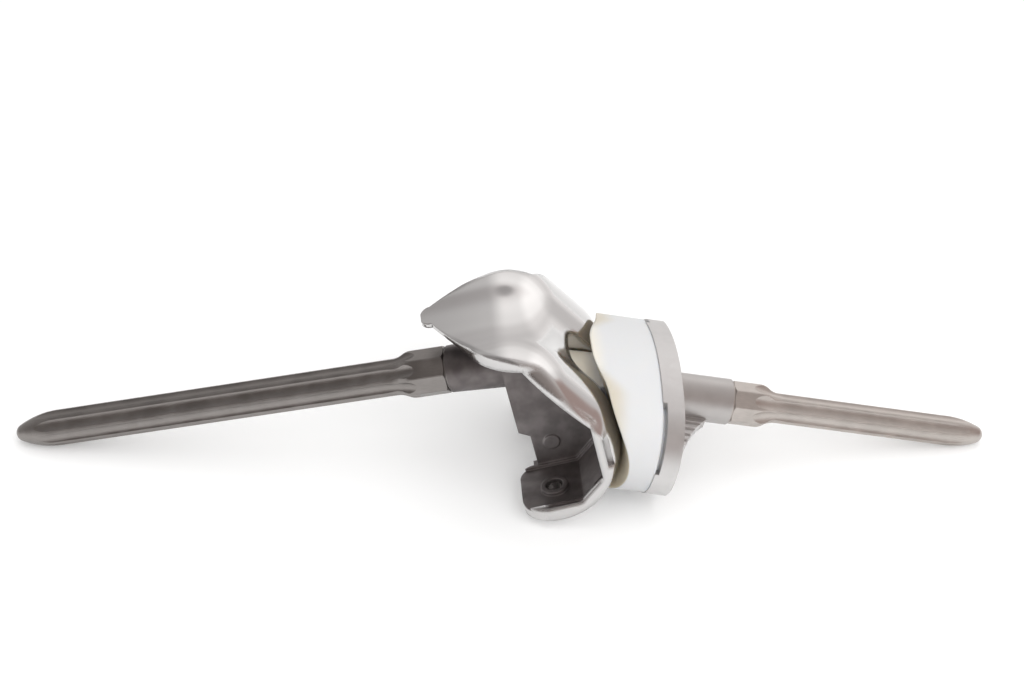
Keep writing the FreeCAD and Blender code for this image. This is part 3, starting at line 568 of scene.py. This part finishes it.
@dataclass(frozen=True)
class Polyethylene(Finish):
    """White bearing plastic, with its lengths in metres. Facing the femoral side it is warmer in
    colour, partly from a slight yellowing of the plastic and partly as painted shade from the gap
    between the parts.

    The lip is the insert's high front, and the ramp gives its depth down the leg from the middle
    to the side. Past the lip, towards the femoral side, the colour is painted light and shade: a
    pale yellow on the post and a darker brown beside it.
    """

    cool: Colour
    # Partly a slight yellowing and partly painted shade from the gap, on faces towards the femoral
    # side.
    yellowing_and_painted_shade: Colour
    # Painted shade: the darker brown beside the post, past the lip.
    tan: Colour
    # Painted light: the pale yellow on the post, past the lip.
    cream_painted_light: Colour
    lip: Ramp = (0.0105, 0.0215, 0.0150, 0.0216)
    lip_fade: Ramp = (-0.0050, 0.0020, 1.0, 0.0)
    post: Ramp = (0.010, 0.014, 1.0, 0.0)
    facing_span: Span = (0.15, 0.8)
    mottled: Colour = (0.78, 0.76, 0.72)
    mottle_share: float = 0.06
    speckle_scale: float = 1500.0
    strength: float = 0.08
    depth: float = 0.0001
    edge: float = 0.0009
    roughness: float = 0.40
    roughness_spread: float = 0.04
    specular: float = 0.35
    subsurface: float = 0.3
    subsurface_radius: Colour = (1.0, 0.8, 0.6)
    subsurface_depth: float = 0.003

    def make(self, effects: Effects) -> bpy.types.Material:
        """Build the material.

        Args:
            effects: The shared groups.

        Returns:
            The material.
        """
        material, board, shader, place = self.start()
        speckle = self.use(board, effects.speckle, Vector=place, Scale=self.speckle_scale).outputs
        normal = board.add("ShaderNodeTexCoord").outputs["Normal"]
        # Faces towards the femoral side get the warmer colour: partly a slight yellowing, partly
        # painted shade from the gap.
        facing = board.ramp(board.part(normal, -TIBIAL_DOWN), *self.facing_span)
        across = board.aside(place)
        depth = board.math("SUBTRACT", board.past(place, TIBIAL_DOWN),
                           board.ramp(across, *self.lip))
        # Painted light on the post and painted shade beside it, past the lip towards the femoral
        # side.
        painted_light_and_shade = board.blend(board.ramp(across, *self.post), self.tan, self.cream_painted_light)
        tint = board.blend(board.ramp(depth, *self.lip_fade),
                           board.blend(facing, self.cool, self.yellowing_and_painted_shade), painted_light_and_shade)
        share = board.math("MULTIPLY", speckle["Mottle"], self.mottle_share)
        board.feed(shader, Base_Color=board.blend(share, tint, self.mottled),
                   Normal=self.relief(board, speckle["Height"], self.strength, self.depth,
                                      self.edge),
                   Roughness=self.uneven(board, speckle["Mottle"], self.roughness,
                                         self.roughness_spread),
                   Subsurface_Weight=self.subsurface, Subsurface_Radius=self.subsurface_radius,
                   Subsurface_Scale=self.subsurface_depth, Specular_IOR_Level=self.specular)
        return material


class Node(Enum):
    """The solids of the frame."""

    SHELL = "femoral_component"
    FEMORAL_STEM = "femoral_stem"
    TRAY = "tibial_tray"
    INSERT = "tibial_insert"
    TIBIAL_STEM = "tibial_stem"
    SCREW = "post_screw"


def dress(node: Node, material: bpy.types.Material) -> bpy.types.Object:
    """Give a carried-over solid its material.

    Args:
        node: The solid.
        material: Its finish.

    Returns:
        The solid's object.
    """
    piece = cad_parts[node.value]
    piece.data.materials.clear()
    piece.data.materials.append(material)
    return piece


@dataclass
class FemoralSide:
    """The polished femoral casting and its fluted stem."""

    stem_tone: Colour = (0.30, 0.28, 0.268)
    polished: Colour = (0.62, 0.61, 0.605)
    cast: Colour = (0.215, 0.195, 0.193)
    # Painted light: the paler tone of the lower bone side, as if the table lit it.
    pocket_painted_light: Colour = (0.36, 0.335, 0.335)

    def build(self, effects: Effects) -> list[bpy.types.Object]:
        """Dress both pieces.

        Args:
            effects: The shared groups.

        Returns:
            The pieces.
        """
        lean = math.radians(VALGUS)
        axis = ACROSS * math.sin(lean) - FEMORAL_DOWN * math.cos(lean)
        stem = FluteMetal("femoral_stem_titanium", self.stem_tone, tuple(axis))
        shell = CastShell("femoral_cobalt_chrome", self.polished, self.cast, self.pocket_painted_light)
        return [
            dress(Node.SHELL, shell.make(effects)),
            dress(Node.FEMORAL_STEM, stem.make(effects)),
        ]


@dataclass
class TibialSide:
    """The tray, the insert with its post and screw, and the thinner stem."""

    tray_tone: Colour = (0.69, 0.68, 0.675)
    # Painted shade: the darker tone of the boss below the tray.
    boss_painted_shade: Colour = (0.56, 0.54, 0.53)
    tray_roughness: float = 0.48
    stem_tone: Colour = (0.54, 0.50, 0.47)
    stem_roughness: float = 0.43
    cool: Colour = (0.665, 0.67, 0.68)
    # The insert's warmer colour towards the femoral side: partly a slight yellowing, partly painted
    # shade from the gap.
    yellowing_and_painted_shade: Colour = (0.74, 0.67, 0.53)
    # Painted shade beside the post and painted light on it, past the insert's lip.
    tan: Colour = (0.60, 0.55, 0.46)
    cream_painted_light: Colour = (0.78, 0.73, 0.63)

    def build(self, effects: Effects) -> list[bpy.types.Object]:
        """Dress the four pieces.

        Args:
            effects: The shared groups.

        Returns:
            The pieces.
        """
        axis = tuple(TIBIAL_DOWN)
        stem = FluteMetal("tibial_stem_titanium", self.stem_tone, axis, self.stem_roughness)
        tray = BlastedMetal("tray_blasted_metal", self.tray_tone, self.boss_painted_shade,
                            self.tray_roughness)
        insert = Polyethylene("insert_polyethylene", self.cool, self.yellowing_and_painted_shade, self.tan, self.cream_painted_light)
        screw = FluteMetal("screw_turned_metal", self.tray_tone, axis)
        return [
            dress(Node.TRAY, tray.make(effects)),
            dress(Node.INSERT, insert.make(effects)),
            dress(Node.TIBIAL_STEM, stem.make(effects)),
            dress(Node.SCREW, screw.make(effects)),
        ]


@dataclass
class PhotoCamera:
    """The camera at the photo's viewing angle, in metres and degrees, its target in millimetres."""

    distance: float = 0.65684
    elevation: float = 34.05
    azimuth: float = -3.54
    roll: float = -0.12
    focal_pixels: float = 2063.24
    frame_pixels: float = 1024.0
    sensor_mm: float = 36.0
    clip_start: float = 0.01
    target: Place = (3.885, 2.11, 46.17)

    def build(self) -> None:
        """Make the camera and place it."""
        turn, lift = math.radians(self.azimuth), math.radians(self.elevation)
        back = Vector((math.sin(turn) * math.cos(lift), -math.cos(turn) * math.cos(lift),
                       math.sin(lift)))
        right = Vector((math.cos(turn), math.sin(turn), 0.0))
        data = bpy.data.cameras.new("photo_camera")
        data.sensor_width = self.sensor_mm
        data.lens = self.focal_pixels / self.frame_pixels * self.sensor_mm
        data.clip_start = self.clip_start
        camera = bpy.data.objects.new("photo_camera", data)
        bpy.context.scene.collection.objects.link(camera)
        axes = Matrix((right, back.cross(right), back)).transposed()
        axes = axes @ Matrix.Rotation(math.radians(self.roll), 3, "Z")
        place = Vector(self.target) * MM + back * self.distance
        camera.matrix_world = Matrix.Translation(place) @ axes.to_4x4()
        bpy.context.scene.camera = camera


@dataclass
class Table:
    """The pale table, white to the camera and to metal where nothing shades it, in metres."""

    size: float = 8.0
    paint: Colour = (0.8, 0.8, 0.8)
    glow: Ramp = (0.4, 2.2, 0.22, 0.75)

    def build(self) -> None:
        """Lay the table and paint it, with a glow that grows with the distance from the knee."""
        bpy.ops.mesh.primitive_plane_add(size=self.size)
        table = bpy.context.object
        table.name = "table_top"
        material = bpy.data.materials.new("pale_table")
        material.use_nodes = True
        board = Board(material.node_tree)
        output = board.add("ShaderNodeOutputMaterial")
        paint = board.feed(board.add("ShaderNodeBsdfDiffuse"), Color=(*self.paint, 1.0))
        place = board.add("ShaderNodeTexCoord").outputs["Object"]
        away = board.ramp(board.vector("LENGTH", place), *self.glow)
        glow = board.feed(board.add("ShaderNodeEmission"), Strength=away)
        both = board.feed(board.add("ShaderNodeAddShader"), i0=paint.outputs[0], i1=glow.outputs[0])
        to_camera, mirrored = board.rays()
        seen = board.math("MAXIMUM", to_camera, mirrored)
        board.feed(output, Surface=board.mix(seen, paint, both).outputs[0])
        table.data.materials.append(material)


@dataclass
class Room:
    """Even light all round, pale to the camera and banded to metal, as the photo's metal shows it.

    The bands run from the far horizon, 0, over the top to the near horizon, 1. Each has its
    place, its level and its tint. Sideways, from -1 at the left to 1 at the right, the level
    changes by ramps. The dark spot has its middle and half its size sideways and over the bands,
    and its ramp goes by the distance in those halves. The right end is red over most bands.
    """

    bands: tuple[tuple[float, float, Colour], ...] = (
        (0.0, 0.90, (1.0, 0.97, 0.96)),
        (0.05, 0.80, (1.0, 0.97, 0.96)),
        (0.11, 0.92, (1.0, 0.97, 0.96)),
        (0.17, 1.18, (1.0, 0.98, 0.97)),
        (0.25, 1.30, (1.0, 0.98, 0.97)),
        (0.31, 1.04, (1.0, 0.96, 0.95)),
        (0.37, 0.80, (1.0, 0.95, 0.94)),
        (0.50, 0.62, (1.0, 0.95, 0.93)),
        (0.66, 0.60, (1.0, 0.94, 0.91)),
        (0.78, 0.50, (1.0, 0.88, 0.84)),
        (0.93, 0.44, (1.0, 0.84, 0.79)),
        (1.0, 0.50, (1.0, 0.90, 0.87)),
    )
    sideways: tuple[Ramp, ...] = (
        (-0.36, 0.04, 0.46, 1.0),
        (0.28, 0.48, 1.0, 1.25),
        (0.66, 0.76, 1.0, 0.8),
    )
    spot_middle: Span = (0.07, 0.320)
    spot_half: Span = (0.30, 0.030)
    spot: Ramp = (0.3, 1.15, 0.45, 1.0)
    red: Colour = (0.50, 0.385, 0.355)
    red_sideways: Span = (0.76, 0.84)
    red_bands: Span = (0.04, 0.10)
    air: Colour = (1.0, 0.99, 0.98)
    air_level: float = 0.62
    camera_level: float = 1.0

    def banded(self, board: Board, share: Socket) -> Socket:
        """Lay out the bands.

        Args:
            board: The world's board.
            share: The place from the far horizon to the near one.

        Returns:
            The bands' colour socket.
        """
        ramp = board.add("ShaderNodeValToRGB")
        ramp.color_ramp.interpolation = "EASE"
        stops = ramp.color_ramp.elements
        while len(stops) > 1:
            stops.remove(stops[-1])
        for place, level, tint in self.bands:
            stop = stops.new(place) if place > 0.0 else stops[0]
            stop.color = (*(level * channel for channel in tint), 1.0)
        return board.feed(ramp, i0=share).outputs[0]

    def spotted(self, board: Board, along: Socket, share: Socket) -> Socket:
        """Darken one spot, as a dark thing over the table would.

        Args:
            board: The world's board.
            along: The place sideways.
            share: The place over the bands.

        Returns:
            The level's socket.
        """
        off = (board.math("DIVIDE", board.math("SUBTRACT", value, middle), half)
               for value, middle, half in zip((along, share), self.spot_middle, self.spot_half))
        reach = board.math("SQRT", board.math("ADD", *(board.math("MULTIPLY", part, part)
                                                       for part in off)))
        return board.ramp(reach, *self.spot)

    def build(self) -> None:
        """Make the world."""
        world = bpy.data.worlds.new("soft_room")
        bpy.context.scene.world = world
        world.use_nodes = True
        board = Board(world.node_tree)
        output = board.add("ShaderNodeOutputWorld")
        way = board.add("ShaderNodeTexCoord").outputs["Generated"]
        turn = board.math("ARCTAN2", board.part(way, UP), board.part(way, ACROSS))
        share = board.math("DIVIDE", turn, math.pi)
        along = board.part(way, RIGHT)
        level = self.spotted(board, along, share)
        for ramp in self.sideways:
            level = board.math("MULTIPLY", level, board.ramp(along, *ramp))
        reddened = board.math("MULTIPLY", board.ramp(along, *self.red_sideways),
                              board.ramp(share, *self.red_bands))
        tinted = board.blend(reddened, self.banded(board, share), self.red)
        mirror = board.feed(board.add("ShaderNodeBackground"), Color=tinted, Strength=level)
        air = board.feed(board.add("ShaderNodeBackground"), Color=(*self.air, 1.0),
                         Strength=self.air_level)
        shown = board.feed(board.add("ShaderNodeBackground"), Strength=self.camera_level)
        to_camera, mirrored = board.rays()
        inner = board.mix(mirrored, air, mirror)
        board.feed(output, Surface=board.mix(to_camera, inner, shown).outputs[0])


@dataclass
class Softbox:
    """A square softbox that faces the knee, in metres and watts."""

    name: str
    place: Place
    size: float
    power: float

    def build(self) -> None:
        """Hang the lamp, hidden from reflections, since the room's bands stand for them."""
        data = bpy.data.lights.new(self.name, "AREA")
        data.size = self.size
        data.energy = self.power
        lamp = bpy.data.objects.new(self.name, data)
        lamp.visible_glossy = False
        bpy.context.scene.collection.objects.link(lamp)
        lamp.location = self.place
        way = KNEE_AXIS - Vector(self.place)
        lamp.rotation_euler = way.to_track_quat("-Z", "Y").to_euler()


@dataclass
class Studio:
    """The camera, the table, the room and its soft lights."""

    softboxes: tuple[Softbox, ...] = (
        Softbox("overhead_softbox", (0.1, 0.25, 1.1), 1.4, 5.0),
        Softbox("right_softbox", (0.55, -0.8, 0.75), 1.0, 8.0),
        Softbox("left_softbox", (-1.0, -0.4, 0.6), 0.7, 1.6),
    )

    def build(self) -> None:
        """Make all of it."""
        for fitting in (PhotoCamera(), Table(), Room(), *self.softboxes):
            fitting.build()


def main() -> None:
    """Build the studio and both sides of the knee, and report each piece."""
    logging.basicConfig(level=logging.INFO, format="%(name)s: %(message)s")
    bpy.context.scene.view_settings.view_transform = "Standard"
    Studio().build()
    effects = Effects()
    for side in (FemoralSide(), TibialSide()):
        for piece in side.build(effects):
            log.info("%s: %d faces", piece.name, len(piece.data.polygons))


if __name__ == "__main__":
    main()
